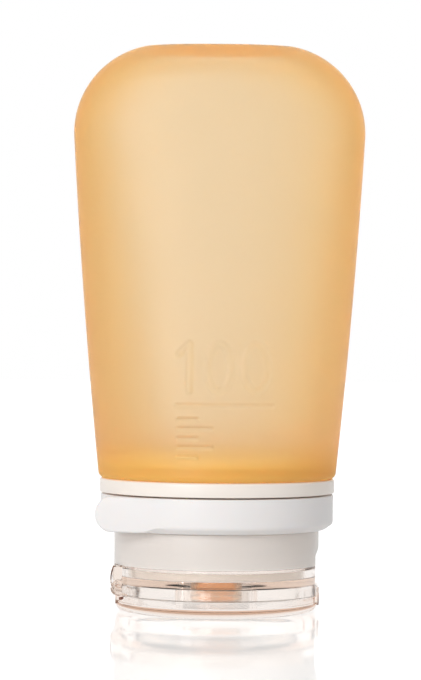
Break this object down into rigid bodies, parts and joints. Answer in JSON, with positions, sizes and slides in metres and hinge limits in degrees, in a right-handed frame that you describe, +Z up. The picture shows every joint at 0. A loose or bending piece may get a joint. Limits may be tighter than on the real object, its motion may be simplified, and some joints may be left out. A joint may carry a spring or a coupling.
{
  "type": "travel squeeze tube",
  "caption": "Soft flattened squeeze tube on a screw cap with a clear flip lid, a stretch loop band with a pull tab, and a slit valve in the nozzle.",
  "frame": {"origin": "centre of the closed lid's flat face, on the table that the tube stands on", "axes": "+Z up from the lid to the tail along the cap's axis, +Y away from the front, the lid's hinge on the -X side"},
  "size_m": [0.0582, 0.047, 0.1123],
  "materials": {
    "body_silicone": "matt translucent orange silicone",
    "collar_plastic": "translucent natural polypropylene, satin",
    "band_silicone": "matt white silicone",
    "cap_plastic": "frosted skirt and polished apron in clear copolyester",
    "seal_silicone": "translucent pale orange silicone",
    "valve_silicone": "translucent orange silicone",
    "clamp_plastic": "natural polypropylene",
    "lid_plastic": "clear glossy copolyester"
  },
  "bodies": {
    "tube": {"squeeze_body": "body_silicone", "neck_collar": "collar_plastic"},
    "seal": {"cap_seal": "seal_silicone"},
    "cap": {"cap": "cap_plastic", "valve": "valve_silicone", "valve_clamp": "clamp_plastic"},
    "lid": {"lid": "lid_plastic"},
    "band": {"loop_band": "band_silicone"}
  },
  "joints": [
    {"name": "cap_travel", "type": "slide", "parent": "tube", "child": "seal", "axis": [0, 0, -1], "range_m": [0, 0.0061]},
    {"name": "cap_turn", "type": "hinge", "parent": "seal", "child": "cap", "pos_m": [0, 0, 0.0084], "axis": [0, 0, -1], "range_deg": [0, 540]},
    {"name": "lid_hinge", "type": "hinge", "parent": "cap", "child": "lid", "pos_m": [-0.0194, 0, 0.0048], "axis": [0, 1, 0], "range_deg": [0, 115]},
    {"name": "band_turn", "type": "hinge", "parent": "cap", "child": "band", "pos_m": [0, 0, 0.0198], "axis": [0, 0, 1], "continuous": true}
  ],
  "couplings": [
    {"joint": "cap_travel", "follows": "cap_turn", "m_per_rad": 0.00063662}
  ]
}
